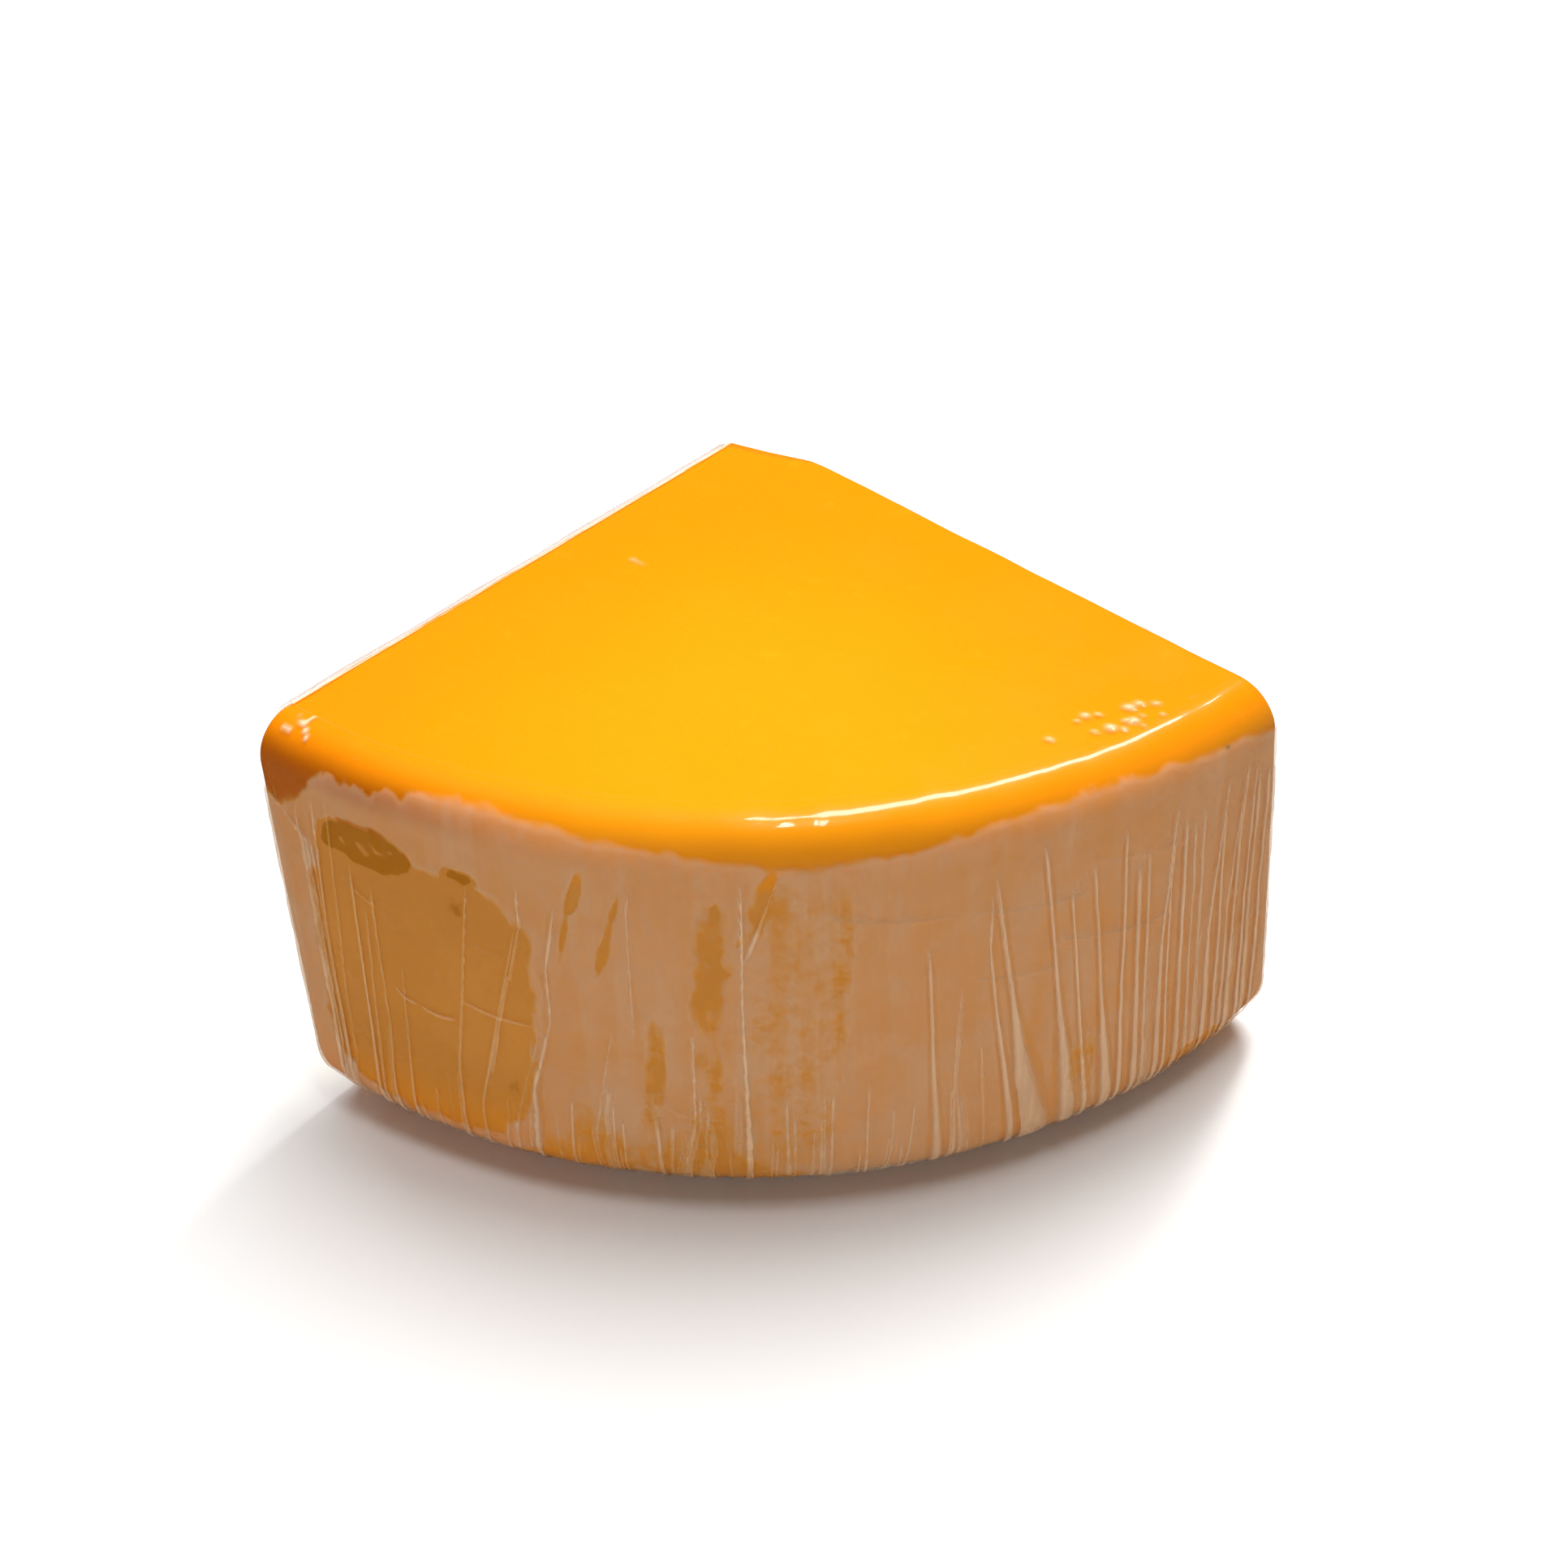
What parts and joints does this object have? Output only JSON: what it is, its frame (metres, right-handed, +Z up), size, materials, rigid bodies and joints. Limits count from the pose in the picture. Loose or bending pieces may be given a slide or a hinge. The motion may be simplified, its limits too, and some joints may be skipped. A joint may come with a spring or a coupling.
{
  "type": "cheese wedge",
  "caption": "Wedge cut from a round of semi-hard cheese with a yellow plastic rind coating, wrapped tightly in clear cling film and resting on its base.",
  "frame": {"origin": "middle of the bounding box in X and Y, at the base that the wedge rests on", "axes": "+Z up, the curved rind faces -Y, the cut-off tip faces +Y, X runs across the wedge"},
  "size_m": [0.2452, 0.1684, 0.12],
  "materials": {
    "cheese": "satin",
    "coating": "gloss",
    "film": "gloss"
  },
  "bodies": {
    "root": {"cheese": "cheese", "rind_coating": "coating", "cling_film": "film"}
  },
  "joints": []
}
